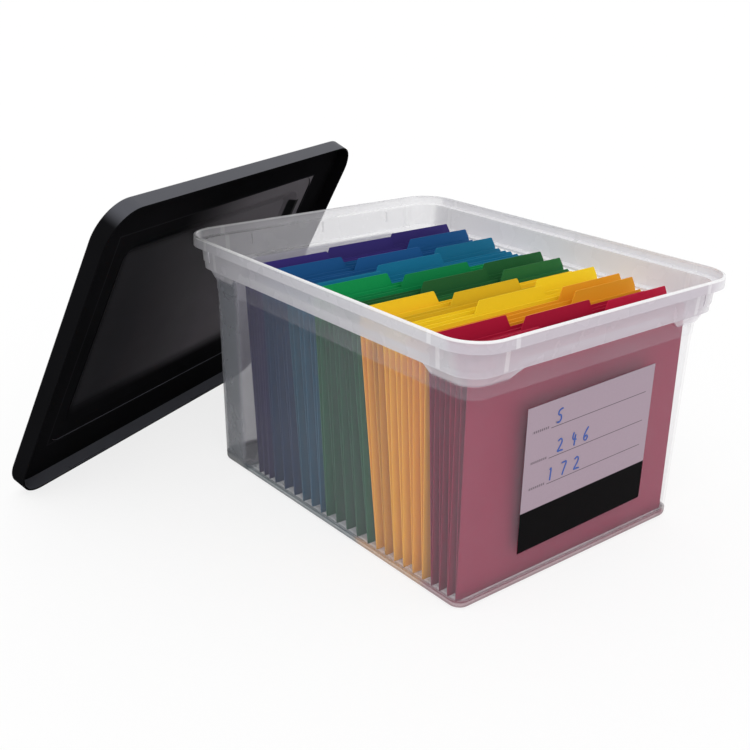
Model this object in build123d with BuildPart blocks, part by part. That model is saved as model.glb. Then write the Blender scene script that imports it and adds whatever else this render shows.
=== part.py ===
from build123d import *
import math
import os
from typing import NamedTuple

# Portable file box: a clear tote with a stepped rim, its snap-on lid taken off and
# leaning on the back rim, rows of tabbed folders and a label on the front end.
# Frame: origin at the centre of the tote's foot on the floor, +X across, +Y towards
# the lid, +Z up. The label end faces -Y. Millimetres.

# --- folders, whose size the tote is made for ---------------------------------
folder_width = 295.0
folder_height = 229.0
tab_height = 12.0
tab_slant = 6.0
tab_count = 3
card = 0.6
leaf_corner = 3.0
tab_round = 2.0
folder_spacing = 0.95

# --- tote, outside -----------------------------------------------------------
rim_length = 454.0
rim_corner = 37.0
rim_round = 1.0
wall = 2.4
floor_thick = 2.5

flange_height = 11.0
band_inset = 9.5
band_draft = 2.0
band_height = 25.0

body_inset_top = 22.5
body_inset_foot = 27.0
body_corner_foot = 13.5
foot_round = 6.0
foot_ring = 9.0
foot_lift = 3.0
foot_pad_radius = 16.0
foot_brace = 4.0
stop_drop = 24.0
stop_step = 0.8
side_room = 3.1
head_room = 19.2
front_room = 6.6
back_room = 67.6

# --- corner bulges under the band -------------------------------------------
bulge_rise = 8.0
bulge_drop = 16.5
end_run_low = 48.0
end_run_high = 90.0
side_run_low = 60.0
side_run_high = 82.0
corner_block = 41.0
corner_block_step = 0.9
rib_pitch = 97.0
rib_width = 1.6
rib_depth = 2.6
rib_drop = 12.0

# --- lid ---------------------------------------------------------------------
lid_wall = 2.2
lid_gap = 0.8
lid_skirt = 15.5
lid_edge_round = 2.0
panel_margin = 47.0
panel_corner = 18.0
panel_step = 1.0
plateau_margin = 16.0
plateau_slope = 16.0
plateau_rise = 7.5
plateau_corner = 24.0
snap_long = 60.0
snap_depth = 0.6
snap_height = 2.0
snap_above_edge = 1.6

# --- the lid's place, off the tote and leaning on a rim corner ----------------
lid_turn = 24.4
lid_lean = 63.7
lid_overlap = 203.0
rest_gap = 0.3

# --- label -------------------------------------------------------------------
label_width = 176.0
label_height = 147.0
label_thick = 0.4
label_centre_x = 4.5
label_drop = 21.5
label_turn = 1.2

floor_top = foot_lift + floor_thick
rim_top = floor_top + rest_gap + folder_height + tab_height + head_room
rim_width = folder_width + 2 * (side_room + wall + body_inset_foot)
flange_low = rim_top - flange_height
ledge_height = flange_low - band_height
stop_height = ledge_height - stop_drop
bulge_face_z = ledge_height + bulge_rise
bulge_foot_z = ledge_height - bulge_drop
label_centre_z = stop_height - label_drop - label_height / 2
body_x = rim_width / 2 - body_inset_foot
body_y = rim_length / 2 - body_inset_foot
lid_width = rim_width + 2 * (lid_gap + lid_wall)
lid_length = rim_length + 2 * (lid_gap + lid_wall)

os.makedirs("parts", exist_ok=True)


def body_inset(height):
    """Return how far the drafted body wall stands in from the rim."""
    share = height / ledge_height
    return body_inset_foot + (body_inset_top - body_inset_foot) * share


def body_corner(height):
    """Return the body's corner radius, which grows as its walls flare."""
    return body_corner_foot + body_inset_foot - body_inset(height)


def band_face(height):
    """Return how far the drafted band face stands in from the rim."""
    return band_inset + band_draft * (flange_low - height) / (flange_low - ledge_height)


def tier(inset_at, corner, low, high):
    """Build one tier of the tote between two heights, its walls drafted evenly."""
    flare = inset_at(low) - inset_at(high)
    with BuildPart() as block:
        with BuildSketch(Plane.XY.offset(low)):
            inset = inset_at(low)
            RectangleRounded(rim_width - 2 * inset, rim_length - 2 * inset, corner)
        extrude(amount=high - low, taper=-math.degrees(math.atan2(flare, high - low)))
    return block.part


def body_tier(skin, low):
    """Build the drafted body, set in by one skin and cut off at its own floor."""
    return tier(lambda z: body_inset(z) + skin, body_corner(low) - skin, low, ledge_height + skin)


def stop_tier(skin):
    """Build the proud stretch of wall above the nesting stop."""
    step = stop_step - skin
    corner = body_corner(stop_height) + step
    return tier(lambda z: body_inset(z) - step, corner, stop_height, ledge_height + skin)


def band_tier(proud, low):
    """Build the band up to the flange, standing proud of its face or set in from it."""
    corner = rim_corner - band_face(low) + proud
    return tier(lambda z: band_face(z) - proud, corner, low, flange_low - min(proud, 0))


def flange_tier(skin):
    """Build the flange, the widest tier, set in by one skin."""
    return tier(lambda z: skin, rim_corner - skin, flange_low + skin, rim_top + skin)


def lower_edge(run_low, run_high, half, skin):
    """Sketch the space above the band's lower edge, which dips at both corners."""
    ledge = ledge_height + skin
    foot = bulge_foot_z + skin
    outer = half + 1.0
    crest = half - run_high
    dip = half - run_low
    lean = (run_high - run_low) * 0.5
    with BuildLine() as edge:
        Line((-crest, ledge), (crest, ledge))
        Spline((crest, ledge), (dip, foot), tangents=((lean, 0), (lean, 0)))
        Line((dip, foot), (outer, foot))
        Line((outer, foot), (outer, rim_top))
        Line((outer, rim_top), (-outer, rim_top))
        Line((-outer, rim_top), (-outer, foot))
        Line((-outer, foot), (-dip, foot))
        Spline((-dip, foot), (-crest, ledge), tangents=((lean, 0), (lean, 0)))
    return edge.line


def bulge_tier(skin):
    """Build the sloped corner bulges, trimmed by the dipping edge on each side."""
    low = bulge_foot_z + skin
    high = bulge_face_z + skin
    with BuildPart() as bulges:
        with BuildSketch(Plane.XY.offset(low)):
            inset = body_inset(low) + skin
            RectangleRounded(rim_width - 2 * inset, rim_length - 2 * inset, body_corner(low) - skin)
        with BuildSketch(Plane.XY.offset(high)):
            inset = band_face(high) + skin
            RectangleRounded(rim_width - 2 * inset, rim_length - 2 * inset, rim_corner - inset)
        loft(ruled=True)
        with BuildSketch(Plane.XZ):
            add(lower_edge(end_run_low, end_run_high, rim_width / 2, skin))
            make_face()
        extrude(amount=rim_length, both=True, mode=Mode.INTERSECT)
        with BuildSketch(Plane.YZ):
            add(lower_edge(side_run_low, side_run_high, rim_length / 2, skin))
            make_face()
        extrude(amount=rim_width, both=True, mode=Mode.INTERSECT)
    return bulges.part


def tote_form(skin, low):
    """Join the tiers of the tote, as its outside or, set in by a skin, its inside."""
    with BuildPart() as form:
        add(body_tier(skin, low))
        add(stop_tier(skin))
        add(bulge_tier(skin))
        add(band_tier(-skin, ledge_height + skin))
        add(flange_tier(skin))
    return form.part


def corner_blocks():
    """Build the proud blocks that face the band at its four corners."""
    with BuildPart() as blocks:
        add(band_tier(corner_block_step, bulge_face_z))
        with BuildSketch(Plane.XY.offset(bulge_face_z)):
            with GridLocations(rim_width, rim_length, 2, 2):
                Rectangle(2 * corner_block, 2 * corner_block)
        extrude(amount=rim_top - bulge_face_z, mode=Mode.INTERSECT)
    return blocks.part


def end_ribs():
    """Build the short ribs inside the band at both ends."""
    rib_low = flange_low - rib_drop
    inner = rim_length / 2 - band_face(flange_low) - wall
    with BuildPart() as ribs:
        with BuildSketch(Plane.XY.offset(rib_low)):
            with GridLocations(rib_pitch, 2 * inner - rib_depth + 1.0, 3, 2):
                Rectangle(rib_width, rib_depth + 1.0)
        extrude(amount=rib_drop)
    return ribs.part


outside = tote_form(0, 0)
inside = tote_form(wall, floor_top)

with BuildPart() as tote:
    add(outside)
    fillet(tote.edges().group_by(Axis.Z)[0], foot_round)
    fillet(tote.edges().group_by(Axis.Z)[-1], rim_round)
    add(corner_blocks())
    add(inside, mode=Mode.SUBTRACT)
    add(end_ribs())
    with BuildSketch(Plane.XY):
        hollow = foot_ring + foot_round
        RectangleRounded(2 * (body_x - hollow), 2 * (body_y - hollow), body_corner_foot)
    extrude(amount=foot_lift, mode=Mode.SUBTRACT)
    # A pad at the middle and a brace each way hold the raised floor at foot level.
    with BuildSketch(Plane.XY):
        Circle(foot_pad_radius)
        Rectangle(2 * body_x - 2 * hollow + foot_ring, foot_brace)
        Rectangle(foot_brace, 2 * body_y - 2 * hollow + foot_ring)
    extrude(amount=foot_lift + floor_thick / 2)

tote.part.label = "tote"
export_step(tote.part, "parts/tote.step")


# The label lies on the front wall, whose draft tips it slightly.
draft = math.atan((body_inset_foot - body_inset_top) / ledge_height)
label_roll = math.radians(label_turn)
label_seat = Vector(label_centre_x, -rim_length / 2 + body_inset(label_centre_z), label_centre_z)
wall_up = Vector(0, -math.sin(draft), math.cos(draft))
wall_out = Vector(0, -math.cos(draft), -math.sin(draft))
label_along = Vector(1, 0, 0) * math.cos(label_roll) + wall_up * math.sin(label_roll)
label_face = Plane(origin=label_seat, x_dir=label_along, z_dir=wall_out)

with BuildPart() as label:
    with BuildSketch(label_face):
        Rectangle(label_width, label_height)
    extrude(amount=label_thick)

label.part.label = "label"
export_step(label.part, "parts/label.step")


# The lid's own axes: along its long edge, up its slope, and out of its underside.
turn = math.radians(lid_turn)
lean = math.radians(lid_lean)
along = Vector(math.cos(turn), math.sin(turn), 0)
slope = Vector(math.sin(turn) * math.cos(lean), -math.cos(turn) * math.cos(lean), math.sin(lean))
under = along.cross(slope)

# The rim corner that carries the lid is where the rim reaches furthest along its back.
corner_centre = Vector(-rim_width / 2 + rim_corner, rim_length / 2 - rim_corner, rim_top)
outward = Vector(-under.X, -under.Y, 0).normalized()
touch = corner_centre + outward * rim_corner
lid_hollow = lid_skirt + panel_step + plateau_rise
free_edge_point = touch + under * (lid_hollow - rest_gap)
climb = free_edge_point.Z / slope.Z
lid_foot = free_edge_point - along * lid_overlap - slope * climb
lid_origin = lid_foot + along * (lid_length / 2) + slope * (lid_width / 2)
lid_corner = rim_corner + lid_gap + lid_wall
underside = Plane(origin=lid_origin, x_dir=along, z_dir=under)


def lid_outline(margin, corner):
    """Draw the lid's rounded outline, set in by a margin, in the open sketch."""
    RectangleRounded(lid_length - 2 * margin, lid_width - 2 * margin, corner)


def lid_plateau(skin):
    """Build the raised middle, either its outside or the hollow under it."""
    foot = lid_skirt + panel_step + skin
    margin = panel_margin + plateau_margin - skin
    with BuildPart() as plateau:
        with BuildSketch(underside.offset(-foot)):
            lid_outline(margin, plateau_corner + skin)
        extrude(amount=-plateau_rise, taper=math.degrees(math.atan2(plateau_slope, plateau_rise)))
    return plateau.part


with BuildPart() as lid:
    with BuildSketch(underside):
        lid_outline(0, lid_corner)
    extrude(amount=-(lid_skirt + lid_wall))
    outer_face = lid.faces().sort_by(Axis(lid_origin, -under))[-1]
    fillet(outer_face.edges(), lid_edge_round)
    with BuildSketch(underside.offset(-lid_skirt - lid_wall)):
        lid_outline(panel_margin - lid_wall, panel_corner + lid_wall)
    extrude(amount=-panel_step)
    add(lid_plateau(lid_wall))
    with BuildSketch(underside):
        lid_outline(lid_wall, lid_corner - lid_wall)
    extrude(amount=-lid_skirt, mode=Mode.SUBTRACT)
    with BuildSketch(underside.offset(-lid_skirt)):
        lid_outline(panel_margin, panel_corner)
    extrude(amount=-panel_step, mode=Mode.SUBTRACT)
    add(lid_plateau(0), mode=Mode.SUBTRACT)
    # The beads that snap under the flange: two on each long side, one on each end.
    with BuildSketch(underside.offset(-snap_above_edge)):
        with GridLocations(lid_length / 2, lid_width - 2 * lid_wall, 2, 2):
            Rectangle(snap_long, 2 * snap_depth)
        with GridLocations(lid_length - 2 * lid_wall, 0, 2, 1):
            Rectangle(2 * snap_depth, snap_long)
    extrude(amount=-snap_height)

lid.part.label = "lid"
export_step(lid.part, "parts/lid.step")


LEFT, MIDDLE, RIGHT = 0, 1, 2


class FolderRow(NamedTuple):
    """Folders of one colour, from back to front: their spacing, lean and tabs."""

    name: str
    gap: float
    pitch: float
    first_tilt: float
    last_tilt: float
    tabs: tuple


folder_rows = (
    FolderRow("indigo", 0.0, 9.75, 4.4, 3.8, (RIGHT, MIDDLE, LEFT)),
    FolderRow("navy", 12.0, 18.25, 4.0, 5.8, (RIGHT, LEFT, MIDDLE)),
    FolderRow("blue", 16.0, 16.0, 6.0, 4.6, (RIGHT, MIDDLE, LEFT)),
    FolderRow("green", 10.0, 17.0, 4.6, 7.2, (LEFT, MIDDLE, RIGHT, MIDDLE, RIGHT)),
    FolderRow("yellow", 14.0, 13.5, 7.2, 3.2, (LEFT, MIDDLE, RIGHT, MIDDLE, RIGHT, RIGHT)),
    FolderRow("crimson", 12.5, 11.0, 3.0, 1.2, (LEFT, MIDDLE, RIGHT, LEFT)),
)

# The rows share the depth between the end walls, and the tightest row sets how far
# a folder can gape.
packed_depth = 2 * (body_y - wall) - front_room - back_room
spaced_depth = sum(row.gap + row.pitch * (len(row.tabs) - 1) for row in folder_rows)
crowding = packed_depth / spaced_depth
tightest_pitch = min(row.pitch for row in folder_rows)
mouth_gap = crowding * tightest_pitch - 2 * card - folder_spacing


def front_leaf(face):
    """Build a folder's front leaf, a plain card standing on its crease."""
    with BuildPart() as leaf:
        with BuildSketch(face) as outline:
            Rectangle(folder_width, folder_height, align=(Align.CENTER, Align.MIN))
            chamfer(outline.vertices().group_by(Axis.Y)[-1], leaf_corner)
        extrude(amount=card)
    return leaf.part


def back_leaf(face, place):
    """Build a folder's back leaf, with its tab standing on one third of the top."""
    third = folder_width / tab_count
    middle = (place - (tab_count - 1) / 2) * third
    tab_top = folder_height + tab_height
    with BuildPart() as leaf:
        with BuildSketch(face) as outline:
            Rectangle(folder_width, folder_height, align=(Align.CENTER, Align.MIN))
            with BuildLine():
                Polyline(
                    (middle - third / 2, folder_height),
                    (middle - third / 2 + tab_slant, tab_top),
                    (middle + third / 2 - tab_slant, tab_top),
                    (middle + third / 2, folder_height),
                    close=True,
                )
            make_face()
            fillet(outline.vertices().group_by(Axis.Y)[-1], tab_round)
            for end in (0, -1):
                leaf_end = outline.vertices().group_by(Axis.X)[end]
                chamfer(leaf_end.sort_by(Axis.Y)[-1], leaf_corner)
        extrude(amount=-card)
    return leaf.part


def leaf_plane(crease, tilt):
    """Place a leaf's inner face: it rises from the crease and leans back."""
    lean_back = math.radians(tilt)
    return Plane(origin=crease, x_dir=(1, 0, 0), z_dir=(0, -math.cos(lean_back), math.sin(lean_back)))


# Each folder is one card creased at its foot. Its two leaves are solids of their
# own, so that the mouth between them stays open, and they meet along the crease.
gape = math.degrees(math.atan2(mouth_gap / 2, folder_height))
row_back = body_y - wall - back_room
for row in folder_rows:
    row_back -= crowding * row.gap
    for index, place in enumerate(row.tabs):
        tilt = row.first_tilt + (row.last_tilt - row.first_tilt) * index / (len(row.tabs) - 1)
        crease_z = floor_top + rest_gap + card * math.sin(math.radians(tilt + gape))
        crease = Vector(0, row_back - crowding * row.pitch * index, crease_z)
        front = front_leaf(leaf_plane(crease, tilt - gape))
        front.label = f"folder_{row.name}_{index + 1}_front"
        export_step(front, f"parts/{front.label}.step")
        back = back_leaf(leaf_plane(crease, tilt + gape), place)
        back.label = f"folder_{row.name}_{index + 1}_back"
        export_step(back, f"parts/{back.label}.step")
    row_back -= crowding * row.pitch * (len(row.tabs) - 1)
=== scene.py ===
"""Dress the portable file box: its clear tote, black lid, tabbed folders and end label.

Everything is in metres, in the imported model's own frame: +X across the box, +Y along
it towards the end where the lid leans, +Z up, with the floor at zero.
"""

import logging
import math
import random
from dataclasses import dataclass, field
from enum import Enum

import bpy
from mathutils import Matrix, Vector

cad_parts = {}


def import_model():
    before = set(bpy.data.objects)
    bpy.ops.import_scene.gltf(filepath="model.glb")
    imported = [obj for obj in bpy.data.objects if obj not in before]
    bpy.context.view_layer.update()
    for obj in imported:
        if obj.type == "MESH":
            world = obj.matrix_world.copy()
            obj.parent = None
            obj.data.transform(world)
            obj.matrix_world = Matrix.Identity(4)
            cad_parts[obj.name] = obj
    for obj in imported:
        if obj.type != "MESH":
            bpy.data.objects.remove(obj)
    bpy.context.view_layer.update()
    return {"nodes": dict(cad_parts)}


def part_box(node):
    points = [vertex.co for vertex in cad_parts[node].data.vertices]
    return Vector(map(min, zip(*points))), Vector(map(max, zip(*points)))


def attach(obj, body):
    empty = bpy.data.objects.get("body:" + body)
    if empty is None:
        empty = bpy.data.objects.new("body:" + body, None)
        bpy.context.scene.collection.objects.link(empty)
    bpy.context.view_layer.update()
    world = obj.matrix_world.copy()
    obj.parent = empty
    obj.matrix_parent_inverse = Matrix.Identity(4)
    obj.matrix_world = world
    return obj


LOG = logging.getLogger("file_box")
BOX_BODY = "box"
RNG_SEED = 11

Socket = bpy.types.NodeSocket
Colour = tuple[float, float, float, float]
WHITE: Colour = (1.0, 1.0, 1.0, 1.0)
TALL_GRAIN = (1.0, 1.0, 0.35)


class FolderHue(Enum):
    """The six card colours, from the back of the box to the front."""

    INDIGO = "indigo"
    NAVY = "navy"
    BLUE = "blue"
    GREEN = "green"
    YELLOW = "yellow"
    CRIMSON = "crimson"


def linear(red: int, green: int, blue: int) -> Colour:
    """Turn a display colour, 0 to 255, into a shader's linear one, by the usual display curve.

    Args:
        red: The display red.
        green: The display green.
        blue: The display blue.

    Returns:
        The linear colour with an alpha of one.
    """
    shares = []
    for channel in (red, green, blue):
        share = channel / 255.0
        shares.append(share / 12.92 if share <= 0.04045 else ((share + 0.055) / 1.055) ** 2.4)
    return (shares[0], shares[1], shares[2], 1.0)


class Shader:
    """A small builder for one material's node tree."""

    def __init__(self, name: str) -> None:
        """Start a material that holds one Principled shader.

        Args:
            name: The material's name.
        """
        self.material = bpy.data.materials.new(name)
        self.material.use_nodes = True
        self.tree = self.material.node_tree
        self.tree.nodes.clear()
        self.output = self.tree.nodes.new("ShaderNodeOutputMaterial")
        self.surface = self.tree.nodes.new("ShaderNodeBsdfPrincipled")
        self.tree.links.new(self.surface.outputs["BSDF"], self.output.inputs["Surface"])
        self._place: Socket | None = None

    def place(self) -> Socket:
        """Return the point on the object, in metres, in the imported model's own frame."""
        if self._place is None:
            self._place = self.tree.nodes.new("ShaderNodeTexCoord").outputs["Object"]
        return self._place

    def plug(self, source: Socket | Colour | float, target: Socket) -> None:
        """Link a socket to another, or set a plain number or colour on it.

        Args:
            source: A socket, a number or a colour.
            target: The input to feed.
        """
        if isinstance(source, Socket):
            self.tree.links.new(source, target)
        else:
            target.default_value = source

    def math(
        self,
        operation: str,
        first: Socket | float,
        second: Socket | float = 0.0,
        third: Socket | float = 0.0,
    ) -> Socket:
        """Add a Math node.

        Args:
            operation: The node's operation.
            first: Its first input.
            second: Its second input.
            third: Its third input.

        Returns:
            The result's socket.
        """
        node = self.tree.nodes.new("ShaderNodeMath")
        node.operation = operation
        for source, target in zip((first, second, third), node.inputs):
            self.plug(source, target)
        return node.outputs[0]

    def step(self, value: Socket, start: float, end: float) -> Socket:
        """Rise smoothly from zero to one as a value goes from start to end.

        Args:
            value: The value to read.
            start: Where the rise starts.
            end: Where it ends; below start, the rise is turned round.

        Returns:
            The rise's socket.
        """
        node = self.tree.nodes.new("ShaderNodeMapRange")
        node.interpolation_type = "SMOOTHSTEP"
        flip = end < start
        self.plug(value, node.inputs["Value"])
        node.inputs["From Min"].default_value = min(start, end)
        node.inputs["From Max"].default_value = max(start, end)
        node.inputs["To Min"].default_value = 1.0 if flip else 0.0
        node.inputs["To Max"].default_value = 0.0 if flip else 1.0
        return node.outputs["Result"]

    def axes(self, vector: Socket | None = None) -> list[Socket]:
        """Split a point into its three coordinates.

        Args:
            vector: The point, or None for the place on the object.

        Returns:
            The sockets of x, y and z.
        """
        node = self.tree.nodes.new("ShaderNodeSeparateXYZ")
        self.plug(vector or self.place(), node.inputs[0])
        return list(node.outputs)

    def dot(self, vector: Socket, direction: Vector) -> Socket:
        """Measure a vector along a direction.

        Args:
            vector: The vector's socket.
            direction: The direction, of length one.

        Returns:
            The measure's socket.
        """
        node = self.tree.nodes.new("ShaderNodeVectorMath")
        node.operation = "DOT_PRODUCT"
        self.plug(vector, node.inputs[0])
        node.inputs[1].default_value = direction
        return node.outputs["Value"]

    def along(self, origin: Vector, direction: Vector) -> Socket:
        """Measure the place on the object along a direction, from an origin.

        Args:
            origin: The zero, in metres.
            direction: The direction, of length one.

        Returns:
            The distance's socket, in metres.
        """
        return self.math("SUBTRACT", self.dot(self.place(), direction), origin.dot(direction))

    def facing(self, direction: Vector) -> Socket:
        """Measure how squarely the surface faces a fixed direction.

        Args:
            direction: The direction, of length one.

        Returns:
            The cosine's socket.
        """
        geometry = self.tree.nodes.new("ShaderNodeNewGeometry")
        return self.dot(geometry.outputs["Normal"], direction)

    def strip(self, value: Socket, low: float, high: float, soft: float) -> Socket:
        """Mark where a value lies between two limits.

        Args:
            value: The value to test.
            low: The lower limit.
            high: The upper limit.
            soft: How far the edges fade.

        Returns:
            The mark's socket, one inside and zero outside.
        """
        rising = self.step(value, low - soft, low + soft)
        falling = self.step(value, high + soft, high - soft)
        return self.math("MULTIPLY", rising, falling)

    def vary(self, value: Socket, spread: float, middle: float) -> Socket:
        """Stretch a value that runs from zero to one, and centre it on a middle.

        Args:
            value: The value to stretch.
            spread: How far apart its ends come to lie.
            middle: What its middle becomes.

        Returns:
            The stretched value's socket.
        """
        return self.math("MULTIPLY_ADD", value, spread, middle - spread / 2.0)

    def turned(self, origin: Vector, turn: Vector) -> Socket:
        """Return the place on the object, measured from an origin and turned.

        Args:
            origin: The new zero, in metres.
            turn: The Euler turn, in radians.

        Returns:
            The point's socket.
        """
        shift = self.tree.nodes.new("ShaderNodeVectorMath")
        shift.operation = "SUBTRACT"
        self.plug(self.place(), shift.inputs[0])
        shift.inputs[1].default_value = origin
        node = self.tree.nodes.new("ShaderNodeVectorRotate")
        node.rotation_type = "EULER_XYZ"
        self.plug(shift.outputs[0], node.inputs["Vector"])
        node.inputs["Rotation"].default_value = turn
        return node.outputs[0]

    def noise(
        self,
        scale: float,
        detail: float = 3.0,
        stretch: tuple[float, float, float] = (1.0, 1.0, 1.0),
    ) -> Socket:
        """Add a noise that varies over the surface.

        Args:
            scale: How many swings to a metre.
            detail: How many finer layers it has.
            stretch: How the three axes are scaled before it.

        Returns:
            The socket of its strength, from zero to one.
        """
        scaled = self.tree.nodes.new("ShaderNodeVectorMath")
        scaled.operation = "MULTIPLY"
        self.plug(self.place(), scaled.inputs[0])
        scaled.inputs[1].default_value = stretch
        node = self.tree.nodes.new("ShaderNodeTexNoise")
        self.plug(scaled.outputs[0], node.inputs["Vector"])
        node.inputs["Scale"].default_value = scale
        node.inputs["Detail"].default_value = detail
        return node.outputs["Fac"]

    def blend(
        self,
        share: Socket | float,
        first: Socket | Colour,
        second: Socket | Colour,
    ) -> Socket:
        """Mix two colours.

        Args:
            share: How much of the second colour shows.
            first: The first colour.
            second: The second colour.

        Returns:
            The mixed colour's socket.
        """
        node = self.tree.nodes.new("ShaderNodeMix")
        node.data_type = "RGBA"
        self.plug(share, node.inputs["Factor"])
        colour_inputs = [slot for slot in node.inputs if slot.type == "RGBA"]
        for source, target in zip((first, second), colour_inputs):
            self.plug(source, target)
        return next(slot for slot in node.outputs if slot.type == "RGBA")

    def bump(self, height: Socket, strength: float, distance: float) -> None:
        """Give the surface a fine relief.

        Args:
            height: The relief's height.
            strength: How strongly it shows.
            distance: How deep it is, in metres.
        """
        node = self.tree.nodes.new("ShaderNodeBump")
        node.inputs["Strength"].default_value = strength
        node.inputs["Distance"].default_value = distance
        self.plug(height, node.inputs["Height"])
        self.plug(node.outputs["Normal"], self.surface.inputs["Normal"])

    def set(self, socket: str, value: Socket | Colour | float) -> None:
        """Feed one of the Principled shader's inputs.

        Args:
            socket: The input's name.
            value: What feeds it.
        """
        self.plug(value, self.surface.inputs[socket])


@dataclass(frozen=True)
class ClearPlastic:
    """Hazy clear polypropylene: thin in the walls, frosted in the rim, band and bulges.

    The colours come first, then how opaque each region is, then where the regions lie
    and over what length each fades in, in metres, and last the fine variation.
    """

    tint: Colour = linear(222, 220, 230)
    cloud: Colour = linear(206, 204, 216)
    frost: Colour = linear(224, 223, 228)
    frost_cloud: Colour = linear(213, 212, 218)
    # Painted highlight on the rim's top edge and on the short upright bars.
    lip_highlight: Colour = linear(246, 246, 247)
    # Painted shade of the empty gap behind the folders, seen through the wall.
    gap_shade: Colour = linear(142, 146, 152)
    # Painted light: the rim turns paler at the back end and the right.
    far_painted_light: Colour = linear(243, 242, 245)
    near_tone: Colour = linear(209, 201, 210)
    # Painted foot colours: the cards seen through the thick foot, and shade under the empty gap.
    foot_front: Colour = linear(140, 86, 100)
    foot_amber: Colour = linear(188, 142, 98)
    foot_blue: Colour = linear(78, 94, 102)
    foot_gap_shade: Colour = linear(132, 134, 136)
    far_light_share: float = 0.85
    bar_highlight_share: float = 0.45

    wall_alpha: float = 0.066
    stop_alpha: float = 0.050
    gap_alpha: float = 0.48
    foot_alpha: float = 0.50
    frost_alpha: float = 0.66
    end_clear: float = 0.34
    bar_alpha: float = 0.07
    lip_alpha: float = 0.22

    foot_top: float = 0.0105
    foot_fade: float = 0.0016
    stop_height: float = 0.206
    stop_fade: float = 0.0004
    rim_foot: float = 0.2302
    rim_fade: float = 0.001
    lip_foot: float = 0.2646
    lip_fade: float = 0.0008
    gap_start: float = 0.148
    gap_fade: float = 0.012
    end_start: float = 0.192
    end_fade: float = 0.006
    end_face: float = 0.196
    end_face_fade: float = 0.008
    end_half: float = 0.165
    end_half_fade: float = 0.010
    near_fade: float = 0.010
    far_x: float = 0.125
    far_fade: float = 0.030
    amber_start: float = -0.148
    blue_start: float = -0.052
    hue_fade: float = 0.008
    bar_x: float = 0.129
    bar_y: float = 0.176
    bar_half: float = 0.0026
    bar_soft: float = 0.0006
    bar_rise: float = 0.002
    body_half_x: float = 0.1588
    body_half_y: float = 0.2058
    body_corner: float = 0.0185
    proud_fade: float = 0.0025

    cloud_scale: float = 9.0
    swirl_scale: float = 14.0
    swirl_spread: float = 0.4
    roughness: float = 0.27
    gloss_scale: float = 30.0
    gloss_spread: float = 0.10
    ripple_scale: float = 38.0
    ripple_strength: float = 0.05
    ripple_depth: float = 0.0006
    ior: float = 1.49

    def outside_body(self, shader: Shader) -> Socket:
        """Measure how far a point stands out from the body's upright walls.

        Args:
            shader: The shader being built.

        Returns:
            The distance's socket, in metres.
        """
        x, y, _ = shader.axes()
        reach_x = shader.math("ADD", shader.math("ABSOLUTE", x), self.body_corner - self.body_half_x)
        reach_y = shader.math("ADD", shader.math("ABSOLUTE", y), self.body_corner - self.body_half_y)
        over_x = shader.math("POWER", shader.math("MAXIMUM", reach_x, 0.0), 2.0)
        over_y = shader.math("POWER", shader.math("MAXIMUM", reach_y, 0.0), 2.0)
        reach = shader.math("SQRT", shader.math("ADD", over_x, over_y))
        return shader.math("SUBTRACT", reach, self.body_corner)

    def frosting(self, shader: Shader) -> Socket:
        """Mark the rim, the band and the bulges, which stand proud of the walls.

        Args:
            shader: The shader being built.

        Returns:
            The mark's socket.
        """
        _, _, z = shader.axes()
        proud = shader.step(self.outside_body(shader), 0.0, self.proud_fade)
        high = shader.step(z, self.rim_foot - self.rim_fade, self.rim_foot + self.rim_fade)
        return shader.math("MAXIMUM", proud, high)

    def top_lip(self, shader: Shader) -> Socket:
        """Mark the rim's top edge, which carries a painted highlight.

        Args:
            shader: The shader being built.

        Returns:
            The mark's socket.
        """
        _, _, z = shader.axes()
        return shader.step(z, self.lip_foot - self.lip_fade, self.lip_foot)

    def foot(self, shader: Shader) -> Socket:
        """Mark the foot, below the cards.

        Args:
            shader: The shader being built.

        Returns:
            The mark's socket.
        """
        _, _, z = shader.axes()
        return shader.step(z, self.foot_top, self.foot_top - self.foot_fade)

    def bars(self, shader: Shader) -> Socket:
        """Mark the short upright bars on the rim near its corners.

        Args:
            shader: The shader being built.

        Returns:
            The mark's socket.
        """
        x, y, z = shader.axes()
        marks = []
        for value, middle in ((x, self.bar_x), (y, self.bar_y)):
            away = shader.math("ABSOLUTE", value)
            low, high = middle - self.bar_half, middle + self.bar_half
            marks.append(shader.strip(away, low, high, self.bar_soft))
        both = shader.math("MAXIMUM", *marks)
        return shader.math("MULTIPLY", both, shader.step(z, self.rim_foot, self.rim_foot + self.bar_rise))

    def behind(self, shader: Shader) -> Socket:
        """Mark the walls behind the folders, which have nothing close to them to show and carry a painted
        shade.

        Args:
            shader: The shader being built.

        Returns:
            The mark's socket.
        """
        _, y, _ = shader.axes()
        return shader.step(y, self.gap_start, self.gap_start + self.gap_fade)

    def opacity(self, shader: Shader, frosted: Socket) -> Socket:
        """Work out how opaque each face of the plastic is.

        Args:
            shader: The shader being built.
            frosted: The mark of the frosted rim.

        Returns:
            The alpha's socket.
        """
        x, y, z = shader.axes()
        stop = shader.step(z, self.stop_height - self.stop_fade, self.stop_height + self.stop_fade)
        alpha = shader.math("MULTIPLY_ADD", stop, self.stop_alpha, self.wall_alpha)
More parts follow.
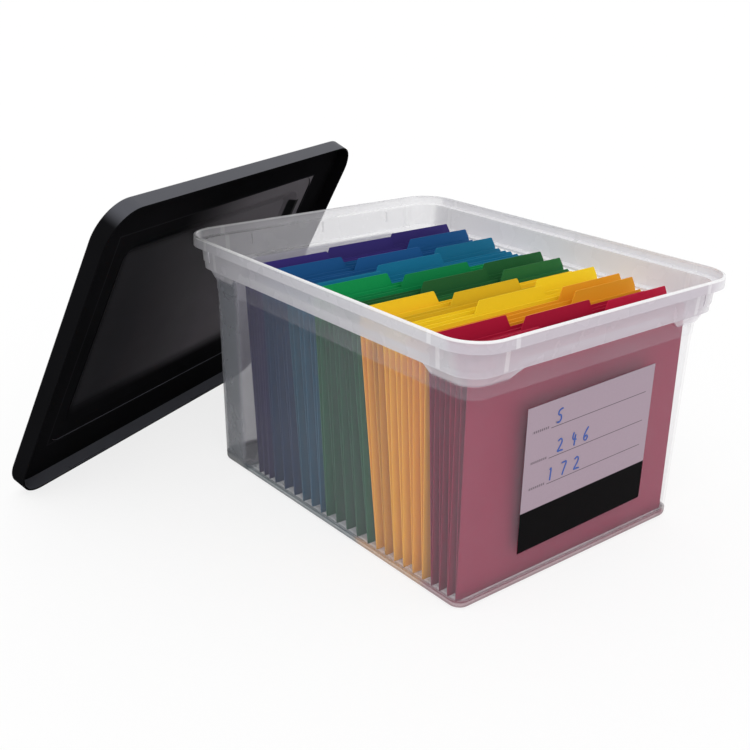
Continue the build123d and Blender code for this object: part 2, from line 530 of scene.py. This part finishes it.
        # Behind the folders the walls turn more opaque, so that their painted shade shows.
        alpha = shader.math("MULTIPLY_ADD", self.behind(shader), self.gap_alpha, alpha)
        alpha = shader.math("MULTIPLY_ADD", self.foot(shader), self.foot_alpha, alpha)
        swirl = shader.noise(self.swirl_scale, 3.0, TALL_GRAIN)
        alpha = shader.math("MULTIPLY", alpha, shader.vary(swirl, self.swirl_spread, 1.0))
        solid = shader.math("MULTIPLY_ADD", self.bars(shader), self.bar_alpha, self.frost_alpha)
        end = shader.step(y, self.end_face, self.end_face + self.end_face_fade)
        inward = shader.step(x, -self.end_half, self.end_half_fade - self.end_half)
        end = shader.math("MULTIPLY", end, inward)
        solid = shader.math("MULTIPLY_ADD", end, -self.end_clear, solid)
        solid = shader.math("MULTIPLY_ADD", self.top_lip(shader), self.lip_alpha, solid)
        spread = shader.math("SUBTRACT", solid, alpha)
        return shader.math("MULTIPLY_ADD", frosted, spread, alpha)

    def foot_hue(self, shader: Shader) -> Socket:
        """Colour the foot, whose thick edge picks up the colour of the cards above it: painted card
        colours, and a painted shade under the empty gap behind them.

        Args:
            shader: The shader being built.

        Returns:
            The colour's socket.
        """
        _, y, _ = shader.axes()
        amber = shader.step(y, self.amber_start - self.hue_fade, self.amber_start + self.hue_fade)
        blue = shader.step(y, self.blue_start - self.hue_fade, self.blue_start + self.hue_fade)
        hue = shader.blend(amber, self.foot_front, self.foot_amber)
        hue = shader.blend(blue, hue, self.foot_blue)
        return shader.blend(self.behind(shader), hue, self.foot_gap_shade)

    def wall_colour(self, shader: Shader, clouds: Socket, end: Socket) -> Socket:
        """Colour the walls, with a painted shade that turns them greyer behind the folders.

        Args:
            shader: The shader being built.
            clouds: The soft clouds in the plastic.
            end: The mark of the back end wall.

        Returns:
            The colour's socket.
        """
        walls = shader.blend(clouds, self.tint, self.cloud)
        # Painted shade over the walls behind the folders.
        gap = shader.math("MULTIPLY", self.behind(shader), shader.math("SUBTRACT", 1.0, end))
        walls = shader.blend(gap, walls, self.gap_shade)
        return shader.blend(self.foot(shader), walls, self.foot_hue(shader))

    def rim_colour(self, shader: Shader, clouds: Socket, end: Socket) -> Socket:
        """Colour the frosted rim: warmer at the front end, with painted light making it paler at the back
        and the right, and a painted highlight on its top edge and short bars.

        Args:
            shader: The shader being built.
            clouds: The soft clouds in the plastic.
            end: The mark of the back end wall.

        Returns:
            The colour's socket.
        """
        x, y, _ = shader.axes()
        frost = shader.blend(clouds, self.frost, self.frost_cloud)
        near = shader.step(y, -self.end_start, -self.end_start - self.near_fade)
        frost = shader.blend(near, frost, self.near_tone)
        # Painted light, paler at the back end and the right.
        far = shader.math("MAXIMUM", shader.step(x, self.far_x, self.far_x + self.far_fade), end)
        frost = shader.blend(shader.math("MULTIPLY", far, self.far_light_share), frost, self.far_painted_light)
        # Painted highlight on the rim's top edge and on the short bars.
        bars = shader.math("MULTIPLY", self.bars(shader), self.bar_highlight_share)
        return shader.blend(shader.math("MAXIMUM", self.top_lip(shader), bars), frost, self.lip_highlight)

    def build(self) -> bpy.types.Material:
        """Build the material.

        Returns:
            The material.
        """
        shader = Shader("clear_plastic")
        _, y, _ = shader.axes()
        frosted = self.frosting(shader)
        clouds = shader.noise(self.cloud_scale, 2.0)
        end = shader.step(y, self.end_start, self.end_start + self.end_fade)
        walls = self.wall_colour(shader, clouds, end)
        rim = self.rim_colour(shader, clouds, end)
        shader.set("Base Color", shader.blend(frosted, walls, rim))
        shader.set("Alpha", self.opacity(shader, frosted))
        gloss = shader.noise(self.gloss_scale)
        shader.set("Roughness", shader.vary(gloss, self.gloss_spread, self.roughness))
        shader.set("IOR", self.ior)
        shader.bump(shader.noise(self.ripple_scale, 1.0), self.ripple_strength, self.ripple_depth)
        return shader.material


@dataclass(frozen=True)
class BlackPlastic:
    """Black polypropylene: dull around the edge, with a painted sheen on the raised middle of its
    underside.

    Places on the lid are in metres, along its foot from the left and up its slope, and a
    pair is where something starts and where it is complete.
    """

    dull: Colour = linear(15, 15, 16)
    worn: Colour = linear(20, 20, 22)
    # Painted sheen: the raised middle's lighter grey.
    satin: Colour = linear(36, 35, 38)
    # Painted reflection near the box and painted highlight at the top right.
    bright: Colour = linear(94, 90, 94)
    # Painted highlight round the panel's edge.
    line: Colour = linear(30, 30, 32)
    # Painted light on the skirt's upward faces.
    skirt_top_light: Colour = linear(80, 81, 87)

    foot: Vector = field(default_factory=lambda: Vector((-0.38654, 0.23548, 0.0)))
    turn: float = math.radians(24.4)
    lean: float = math.radians(63.7)
    length: float = 0.460
    width: float = 0.366
    panel_margin: float = 0.047
    panel_soft: float = 0.0008
    line_width: float = 0.0015
    flat_margin: float = 0.079
    flat_soft: float = 0.009
    # Where the painted reflection and the top right's painted highlight lie.
    glow_along: tuple[float, float] = (0.10, 0.36)
    top_along: tuple[float, float] = (0.15, 0.31)
    top_up: tuple[float, float] = (0.20, 0.26)
    # A dark patch painted near the top right of the underside.
    patch_along: tuple[float, float] = (0.386, 0.402)
    patch_up: tuple[float, float] = (0.252, 0.286)
    patch_soft: float = 0.0012

    inner_facing: tuple[float, float] = (0.2, 0.5)
    outer_facing: tuple[float, float] = (-0.2, -0.5)
    edge_facing: tuple[float, float] = (0.55, 0.9)
    satin_shine: float = 0.012
    outer_shine: float = 0.14
    edge_shine: float = 0.10
    wear_scale: float = 18.0
    # Unevenness of the painted reflection near the box.
    glow_scale: float = 7.0
    glow_spread: float = 0.8
    glow_middle: float = 0.85
    roughness: float = 0.40
    gloss_scale: float = 40.0
    gloss_spread: float = 0.14
    grain: float = 900.0
    grain_strength: float = 0.06
    grain_depth: float = 0.0003

    def directions(self) -> tuple[Vector, Vector, Vector]:
        """Return the lid's own directions: along its foot, up its slope, out of its underside."""
        along = Vector((math.cos(self.turn), math.sin(self.turn), 0.0))
        flat = math.cos(self.lean)
        slope = Vector((math.sin(self.turn) * flat, -math.cos(self.turn) * flat, math.sin(self.lean)))
        return along, slope, along.cross(slope)

    def window(
        self, shader: Shader, place: tuple[Socket, Socket], margin: float, soft: float
    ) -> Socket:
        """Mark what lies further in from the lid's edge than a margin.

        Args:
            shader: The shader being built.
            place: The distances along the foot and up the slope.
            margin: The margin, in metres.
            soft: How far the mark's edge fades.

        Returns:
            The mark's socket.
        """
        across = shader.strip(place[0], margin, self.length - margin, soft)
        upward = shader.strip(place[1], margin, self.width - margin, soft)
        return shader.math("MULTIPLY", across, upward)

    def inner_colour(
        self, shader: Shader, place: tuple[Socket, Socket], colour: Socket, flat: Socket, top: Socket
    ) -> Socket:
        """Colour the underside: a painted sheen on the raised middle, a painted reflection near the box,
        painted highlights at the top right and round the panel, and a dark patch near the top right.

        Args:
            shader: The shader being built.
            place: The distances along the foot and up the slope.
            colour: The plain black.
            flat: The mark of the raised middle.
            top: The mark of the painted highlight at the top right.

        Returns:
            The colour's socket.
        """
        panel = self.window(shader, place, self.panel_margin, self.panel_soft)
        around = self.window(shader, place, self.panel_margin - self.line_width, self.panel_soft)
        # Painted reflection: lighter towards the box.
        glow = shader.math("MULTIPLY", shader.step(place[0], *self.glow_along), flat)
        uneven = shader.vary(shader.noise(self.glow_scale, 2.0), self.glow_spread, self.glow_middle)
        glow = shader.math("MULTIPLY", glow, uneven)
        # A dark patch painted near the top right.
        slot = shader.math(
            "MULTIPLY",
            shader.strip(place[0], *self.patch_along, self.patch_soft),
            shader.strip(place[1], *self.patch_up, self.patch_soft),
        )
        # Painted sheen on the middle, then the painted reflection, highlights and dark patch over it.
        inner = shader.blend(flat, colour, self.satin)
        inner = shader.blend(shader.math("MAXIMUM", glow, top), inner, self.bright)
        inner = shader.blend(shader.math("SUBTRACT", around, panel), inner, self.line)
        return shader.blend(slot, inner, self.dull)

    def build(self) -> bpy.types.Material:
        """Build the material.

        Returns:
            The material.
        """
        shader = Shader("black_plastic")
        along, slope, under = self.directions()
        place = (shader.along(self.foot, along), shader.along(self.foot, slope))
        below = shader.step(shader.facing(under), *self.inner_facing)
        above = shader.step(shader.facing(under), *self.outer_facing)
        edge_up = shader.step(shader.facing(slope), *self.edge_facing)
        flat = self.window(shader, place, self.flat_margin, self.flat_soft)
        # Painted highlight on the stretch at the top right.
        top = shader.step(place[0], *self.top_along)
        top = shader.math("MULTIPLY", top, shader.step(place[1], *self.top_up))
        top = shader.math("MULTIPLY", top, self.window(shader, place, self.panel_margin, self.panel_soft))
        colour = shader.blend(shader.noise(self.wear_scale), self.dull, self.worn)
        colour = shader.blend(below, colour, self.inner_colour(shader, place, colour, flat, top))
        # Painted light: lighter colour on the skirt's upward faces.
        shader.set("Base Color", shader.blend(edge_up, colour, self.skirt_top_light))
        gloss = shader.vary(shader.noise(self.gloss_scale, 4.0), self.gloss_spread, self.roughness)
        shader.set("Roughness", gloss)
        shine = shader.math("MULTIPLY", shader.math("MAXIMUM", flat, top), self.satin_shine)
        shine = shader.math("MULTIPLY", shine, below)
        shine = shader.math("MULTIPLY_ADD", above, self.outer_shine, shine)
        shader.set("Specular IOR Level", shader.math("MULTIPLY_ADD", edge_up, self.edge_shine, shine))
        shader.bump(shader.noise(self.grain, 2.0), self.grain_strength, self.grain_depth)
        return shader.material


@dataclass(frozen=True)
class FolderCard:
    """Coloured card with short fibres, brighter where its top stands up to the light."""

    name: str
    colour: Colour
    shade: Colour
    crest: Colour
    crest_low: float = 0.205
    crest_high: float = 0.236
    fibre: float = 1100.0
    fibre_share: float = 0.15
    fibre_strength: float = 0.04
    fibre_depth: float = 0.0002
    broad: float = 16.0
    broad_share: float = 0.55
    roughness: float = 0.62
    gloss_spread: float = 0.2
    shine: float = 0.25

    def build(self) -> bpy.types.Material:
        """Build the material.

        Returns:
            The material.
        """
        shader = Shader(self.name)
        _, _, z = shader.axes()
        fibres = shader.noise(self.fibre, 2.0, TALL_GRAIN)
        broad = shader.math("MULTIPLY", shader.noise(self.broad, 2.0), self.broad_share)
        mottle = shader.math("MULTIPLY_ADD", fibres, self.fibre_share, broad)
        plain = shader.blend(mottle, self.colour, self.shade)
        crest = shader.step(z, self.crest_low, self.crest_high)
        shader.set("Base Color", shader.blend(crest, plain, self.crest))
        shader.set("Roughness", shader.vary(fibres, self.gloss_spread, self.roughness))
        shader.set("Specular IOR Level", self.shine)
        shader.bump(fibres, self.fibre_strength, self.fibre_depth)
        return shader.material


@dataclass(frozen=True)
class CardTone:
    """One row's display colours: plain, mottled, at the lit top, and a painted shade at a front folder's
    top.

    A folder counts as a front one when its share of the way through its row passes
    front_from, which no folder does in a row without a front tone.
    """

    plain: tuple[int, int, int]
    mottle: tuple[int, int, int]
    crest: tuple[int, int, int]
    # Painted shade at a front folder's top.
    shaded_front_crest: tuple[int, int, int] | None = None
    front_from: float = 1.0


CARD_TONES: dict[FolderHue, CardTone] = {
    FolderHue.INDIGO: CardTone((50, 48, 92), (42, 42, 82), (58, 46, 120)),
    FolderHue.NAVY: CardTone((26, 64, 104), (22, 56, 92), (24, 92, 152)),
    FolderHue.BLUE: CardTone((26, 98, 126), (22, 84, 112), (16, 124, 164)),
    FolderHue.GREEN: CardTone((24, 106, 68), (34, 88, 62), (6, 156, 84), (36, 108, 54), 0.55),
    FolderHue.YELLOW: CardTone((255, 188, 66), (244, 172, 56), (255, 214, 36), (240, 170, 36), 0.70),
    FolderHue.CRIMSON: CardTone((158, 16, 66), (148, 12, 58), (206, 22, 66)),
}
CARD_DARKEST = -0.10
CARD_LIGHTEST = 0.06


def card_finish(hue: FolderHue, number: int, count: int, rng: random.Random) -> bpy.types.Material:
    """Make one folder's card, a little lighter or darker than its neighbours.

    Args:
        hue: The row's colour.
        number: The folder's place in its row.
        count: How many folders the row has.
        rng: Where the small differences come from.

    Returns:
        The folder's material.
    """
    tone = CARD_TONES[hue]
    # Front folders in the green and yellow rows get a painted shade at the top.
    crest = tone.shaded_front_crest if number / count > tone.front_from else tone.crest
    change = 1.0 + rng.uniform(CARD_DARKEST, CARD_LIGHTEST)
    colours = []
    for colour in (tone.plain, tone.mottle, crest):
        red, green, blue = (min(255, round(channel * change)) for channel in colour)
        colours.append(linear(red, green, blue))
    return FolderCard(f"card_{hue.value}_{number}", *colours).build()


@dataclass(frozen=True)
class LabelStock:
    """Matt label paper, printed with a black foot, three rules and small grey marks.

    Places on the label are in metres from its centre, along it and up it.
    """

    paper: Colour = linear(167, 148, 161)
    paper_shade: Colour = linear(160, 142, 154)
    ink: Colour = linear(13, 12, 13)
    rule: Colour = linear(82, 70, 80)
    centre: Vector = field(default_factory=lambda: Vector((0.0045, -0.2017, 0.111)))
    turn: float = math.radians(1.2)
    band_top: float = -0.0315
    rule_heights: tuple[float, float, float] = (0.0465, 0.0160, -0.0105)
    rule_start: float = -0.056
    rule_end: float = 0.078
    rule_half: float = 0.00035
    mark_start: float = -0.080
    mark_end: float = -0.059
    mark_low: float = 0.0004
    mark_high: float = 0.0028
    mark_strength: float = 0.7
    dashes_to_a_metre: float = 390.0
    dash_gap: float = 0.3
    edge_soft: float = 0.00018
    paper_scale: float = 600.0
    paper_shine: float = 0.30
    ink_shine: float = 0.02
    gloss_scale: float = 300.0
    gloss_spread: float = 0.15
    roughness: float = 0.575
    grain: float = 900.0
    grain_strength: float = 0.05
    grain_depth: float = 0.0002

    def printing(self, shader: Shader, along: Socket, up: Socket) -> tuple[Socket, Socket]:
        """Mark the three rules and the small dashed marks to their left.

        Args:
            shader: The shader being built.
            along: The distance along the label.
            up: The distance up the label.

        Returns:
            The sockets of the rules' mark and the small marks' mark.
        """
        soft = self.edge_soft
        ruled_span = shader.strip(along, self.rule_start, self.rule_end, soft)
        mark_span = shader.strip(along, self.mark_start, self.mark_end, soft)
        swing = shader.math("FRACT", shader.math("MULTIPLY", along, self.dashes_to_a_metre))
        dashes = shader.math("GREATER_THAN", swing, self.dash_gap)
        mark_span = shader.math("MULTIPLY", mark_span, dashes)
        rules = 0.0
        marks = 0.0
        for height in self.rule_heights:
            line = shader.strip(up, height - self.rule_half, height + self.rule_half, soft)
            rules = shader.math("MAXIMUM", shader.math("MULTIPLY", line, ruled_span), rules)
            mark = shader.strip(up, height + self.mark_low, height + self.mark_high, soft)
            marks = shader.math("MAXIMUM", shader.math("MULTIPLY", mark, mark_span), marks)
        return rules, shader.math("MULTIPLY", marks, self.mark_strength)

    def build(self) -> bpy.types.Material:
        """Build the material.

        Returns:
            The material.
        """
        shader = Shader("label_paper")
        point = shader.turned(self.centre, Vector((0.0, self.turn, 0.0)))
        along, _, up = shader.axes(point)
        rules, marks = self.printing(shader, along, up)
        paper = shader.blend(shader.noise(self.paper_scale, 4.0), self.paper, self.paper_shade)
        printed = shader.blend(marks, shader.blend(rules, paper, self.rule), self.rule)
        band = shader.step(up, self.band_top + self.edge_soft, self.band_top - self.edge_soft)
        shader.set("Base Color", shader.blend(band, printed, self.ink))
        shine = shader.math("MULTIPLY_ADD", band, self.ink_shine - self.paper_shine, self.paper_shine)
        shader.set("Specular IOR Level", shine)
        gloss = shader.noise(self.gloss_scale)
        shader.set("Roughness", shader.vary(gloss, self.gloss_spread, self.roughness))
        shader.bump(shader.noise(self.grain, 3.0), self.grain_strength, self.grain_depth)
        return shader.material


@dataclass(frozen=True)
class PenInk:
    """Blue pen ink on the label."""

    dark: Colour = linear(44, 74, 150)
    light: Colour = linear(58, 96, 176)
    tone_scale: float = 700.0
    gloss_scale: float = 500.0
    gloss_spread: float = 0.2
    roughness: float = 0.5

    def build(self) -> bpy.types.Material:
        """Build the material.

        Returns:
            The material.
        """
        shader = Shader("pen_ink")
        shader.set("Base Color", shader.blend(shader.noise(self.tone_scale), self.dark, self.light))
        gloss = shader.noise(self.gloss_scale)
        shader.set("Roughness", shader.vary(gloss, self.gloss_spread, self.roughness))
        return shader.material


def dress(node: bpy.types.Object, material: bpy.types.Material) -> None:
    """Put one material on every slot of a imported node.

    Args:
        node: The node's object.
        material: The material to show.
    """
    if not node.material_slots:
        node.data.materials.append(material)
    for slot in node.material_slots:
        slot.material = material
    LOG.info("dressed %s with %s", node.name, material.name)


@dataclass
class Tote:
    """The open clear box."""

    nodes: dict[str, bpy.types.Object]
    finish: ClearPlastic = field(default_factory=ClearPlastic)

    def build(self) -> None:
        """Dress the tote."""
        dress(self.nodes["tote"], self.finish.build())


@dataclass
class Lid:
    """The black lid that leans on the back of the rim."""

    nodes: dict[str, bpy.types.Object]
    finish: BlackPlastic = field(default_factory=BlackPlastic)

    def build(self) -> None:
        """Dress the lid."""
        dress(self.nodes["lid"], self.finish.build())


@dataclass
class FolderRows:
    """The rows of tabbed card folders."""

    nodes: dict[str, bpy.types.Object]
    rng: random.Random

    def build(self) -> None:
        """Dress both leaves of each folder in its own shade of its row's colour."""
        for hue in FolderHue:
            row = f"folder_{hue.value}_"
            fronts = sorted(n for n in self.nodes if n.startswith(row) and n.endswith("_front"))
            for number, front in enumerate(fronts, start=1):
                card = card_finish(hue, number, len(fronts), self.rng)
                dress(self.nodes[front], card)
                dress(self.nodes[front.replace("_front", "_back")], card)


Stroke = tuple[tuple[float, float], ...]

# A digit's pen path, in units of its height: one open run of points to a stroke.
DIGIT_STROKES: dict[str, tuple[Stroke, ...]] = {
    "1": (((0.22, 0.78), (0.36, 1.0), (0.32, 0.5), (0.28, 0.0)),),
    "2": (
        ((0.08, 0.80), (0.32, 1.0), (0.52, 0.72), (0.26, 0.30), (0.02, 0.02), (0.30, 0.06), (0.58, 0.02)),
    ),
    "4": (((0.34, 1.0), (0.06, 0.38), (0.60, 0.42)), ((0.50, 0.80), (0.42, 0.0))),
    "5": (
        ((0.56, 0.98), (0.20, 0.96), (0.14, 0.58), (0.44, 0.56), (0.48, 0.18), (0.20, 0.0), (0.02, 0.12)),
    ),
    "6": (
        ((0.48, 1.0), (0.14, 0.60), (0.06, 0.18), (0.30, 0.0), (0.50, 0.26), (0.30, 0.46), (0.08, 0.26)),
    ),
    "7": (((0.06, 0.94), (0.34, 0.96), (0.58, 0.96), (0.36, 0.45), (0.20, 0.0)),),
}


@dataclass
class EndLabel:
    """The label on the front end, with plain pen numbers over its printed rules."""

    nodes: dict[str, bpy.types.Object]
    stock: LabelStock = field(default_factory=LabelStock)
    ink: PenInk = field(default_factory=PenInk)
    digit_height: float = 0.0138
    digit_pitch: float = 0.0115
    space_share: float = 0.55
    pen_width: float = 0.0017
    pen_lift: float = 0.0002
    curve_steps: int = 6
    wall_lean: float = math.atan2(0.0045, 0.230)
    entries: tuple[tuple[str, float, float], ...] = (
        ("5", -0.050, 0.0490),
        ("2 4 6", -0.046, 0.0190),
        ("1 7 2", -0.056, -0.0075),
    )

    def basis(self) -> tuple[Vector, Vector, Vector]:
        """Find the label's printed face.

        Returns:
            Its centre, and its directions along and up.
        """
        low, high = (Vector(corner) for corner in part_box("label"))
        up = Vector((0.0, -math.sin(self.wall_lean), math.cos(self.wall_lean)))
        out = Vector((0.0, -math.cos(self.wall_lean), -math.sin(self.wall_lean)))
        along = Vector((1.0, 0.0, 0.0)) * math.cos(self.stock.turn) + up * math.sin(self.stock.turn)
        return (low + high) / 2.0 + out * self.pen_lift, along, out.cross(along)

    def write(
        self, name: str, text: str, start: float, height: float, material: bpy.types.Material
    ) -> None:
        """Write one entry as a pen curve on the label's face.

        Args:
            name: The new piece's name.
            text: The numbers, with spaces between groups.
            start: How far along the label it starts.
            height: How far up from the label's centre it stands.
            material: The ink.
        """
        centre, along, rise = self.basis()
        curve = bpy.data.curves.new(name, "CURVE")
        curve.dimensions = "3D"
        curve.bevel_depth = self.pen_width / 2.0
        curve.bevel_resolution = 1
        curve.resolution_u = self.curve_steps
        pen = start
        for letter in text:
            for stroke in DIGIT_STROKES.get(letter, ()):
                spline = curve.splines.new("NURBS")
                spline.points.add(len(stroke) - 1)
                for point, (across, high) in zip(spline.points, stroke):
                    offset = along * (pen + across * self.digit_height)
                    spot = centre + offset + rise * (height + high * self.digit_height)
                    point.co = (*spot, 1.0)
                spline.order_u = 3
                spline.use_endpoint_u = True
            pen += self.digit_pitch * (self.space_share if letter == " " else 1.0)
        piece = bpy.data.objects.new(name, curve)
        bpy.context.scene.collection.objects.link(piece)
        curve.materials.append(material)
        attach(piece, BOX_BODY)
        LOG.info("wrote %s", name)

    def build(self) -> None:
        """Dress the label and write its entries."""
        dress(self.nodes["label"], self.stock.build())
        ink = self.ink.build()
        for number, (text, start, height) in enumerate(self.entries, start=1):
            self.write(f"pen_entry_{number}", text, start, height, ink)


@dataclass
class Studio:
    """A pale floor, even light and the camera."""

    eye: Vector = field(default_factory=lambda: Vector((-0.7227, -0.7710, 0.5431)))
    heading: float = math.radians(39.343)
    pitch: float = math.radians(21.462)
    roll: float = math.radians(-1.245)
    focal_share: float = 1058.0 / 750.0
    sensor: float = 36.0
    floor_half: float = 40.0
    floor_tone: float = 0.965
    floor_roughness: float = 0.9
    floor_clean: float = 0.78
    world_strength: float = 0.85
    sun_from: Vector = field(default_factory=lambda: Vector((-0.36, -0.45, 0.816)))
    sun_strength: float = 0.78
    sun_angle: float = math.radians(40.0)

    def camera(self) -> None:
        """Place the camera at the photograph's angle."""
        ahead = Vector(
            (
                math.sin(self.heading) * math.cos(self.pitch),
                math.cos(self.heading) * math.cos(self.pitch),
                -math.sin(self.pitch),
            )
        )
        level = Vector((math.cos(self.heading), -math.sin(self.heading), 0.0))
        down = ahead.cross(level)
        right = level * math.cos(self.roll) + down * math.sin(self.roll)
        down = down * math.cos(self.roll) - level * math.sin(self.roll)
        data = bpy.data.cameras.new("camera")
        data.sensor_width = self.sensor
        data.lens = self.focal_share * self.sensor
        camera = bpy.data.objects.new("camera", data)
        turn = Matrix((right, -down, -ahead)).transposed()
        camera.matrix_world = Matrix.Translation(self.eye) @ turn.to_4x4()
        bpy.context.scene.collection.objects.link(camera)
        bpy.context.scene.camera = camera

    def floor(self) -> None:
        """Lay the pale floor, which keeps the object's shadow."""
        mesh = bpy.data.meshes.new("floor")
        reach = self.floor_half
        edges = ((-reach, -reach), (reach, -reach), (reach, reach), (-reach, reach))
        mesh.from_pydata([(x, y, 0.0) for x, y in edges], [], [(0, 1, 2, 3)])
        floor = bpy.data.objects.new("floor", mesh)
        bpy.context.scene.collection.objects.link(floor)
        shader = Shader("floor")
        tone = self.floor_tone
        shader.set("Base Color", (tone, tone, tone, 1.0))
        shader.set("Roughness", self.floor_roughness)
        shader.set("Specular IOR Level", 0.0)
        # The camera sees the floor part lit and part plain white, so a faint shadow stays.
        white = shader.tree.nodes.new("ShaderNodeEmission")
        path = shader.tree.nodes.new("ShaderNodeLightPath")
        mix = shader.tree.nodes.new("ShaderNodeMixShader")
        share = shader.math("MULTIPLY", path.outputs["Is Camera Ray"], self.floor_clean)
        shader.plug(share, mix.inputs["Fac"])
        shader.plug(shader.surface.outputs["BSDF"], mix.inputs[1])
        shader.plug(white.outputs["Emission"], mix.inputs[2])
        shader.plug(mix.outputs[0], shader.output.inputs["Surface"])
        mesh.materials.append(shader.material)

    def sun(self) -> None:
        """Add one broad, soft sun from the front left, which lights far and near alike."""
        data = bpy.data.lights.new("soft_sun", "SUN")
        data.energy = self.sun_strength
        data.angle = self.sun_angle
        sun = bpy.data.objects.new("soft_sun", data)
        sun.matrix_world = self.sun_from.to_track_quat("Z", "Y").to_matrix().to_4x4()
        bpy.context.scene.collection.objects.link(sun)

    def world(self) -> None:
        """Light the room evenly, and show plain white to the camera."""
        world = bpy.data.worlds.new("studio")
        bpy.context.scene.world = world
        world.use_nodes = True
        tree = world.node_tree
        tree.nodes.clear()
        output = tree.nodes.new("ShaderNodeOutputWorld")
        glow = tree.nodes.new("ShaderNodeBackground")
        white = tree.nodes.new("ShaderNodeBackground")
        mix = tree.nodes.new("ShaderNodeMixShader")
        path = tree.nodes.new("ShaderNodeLightPath")
        glow.inputs["Color"].default_value = WHITE
        glow.inputs["Strength"].default_value = self.world_strength
        white.inputs["Color"].default_value = WHITE
        white.inputs["Strength"].default_value = 1.0
        tree.links.new(path.outputs["Is Camera Ray"], mix.inputs["Fac"])
        tree.links.new(glow.outputs[0], mix.inputs[1])
        tree.links.new(white.outputs[0], mix.inputs[2])
        tree.links.new(mix.outputs[0], output.inputs["Surface"])

    def build(self) -> None:
        """Set up the studio."""
        scene = bpy.context.scene
        scene.view_settings.view_transform = "Standard"
        self.camera()
        self.floor()
        self.world()
        self.sun()
        LOG.info("studio ready")


def main() -> None:
    """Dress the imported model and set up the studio."""
    logging.basicConfig(level=logging.INFO, format="%(name)s: %(message)s")
    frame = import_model()
    rng = random.Random(RNG_SEED)
    nodes = frame["nodes"]
    Tote(nodes).build()
    Lid(nodes).build()
    FolderRows(nodes, rng).build()
    EndLabel(nodes).build()
    Studio().build()


if __name__ == "__main__":
    main()
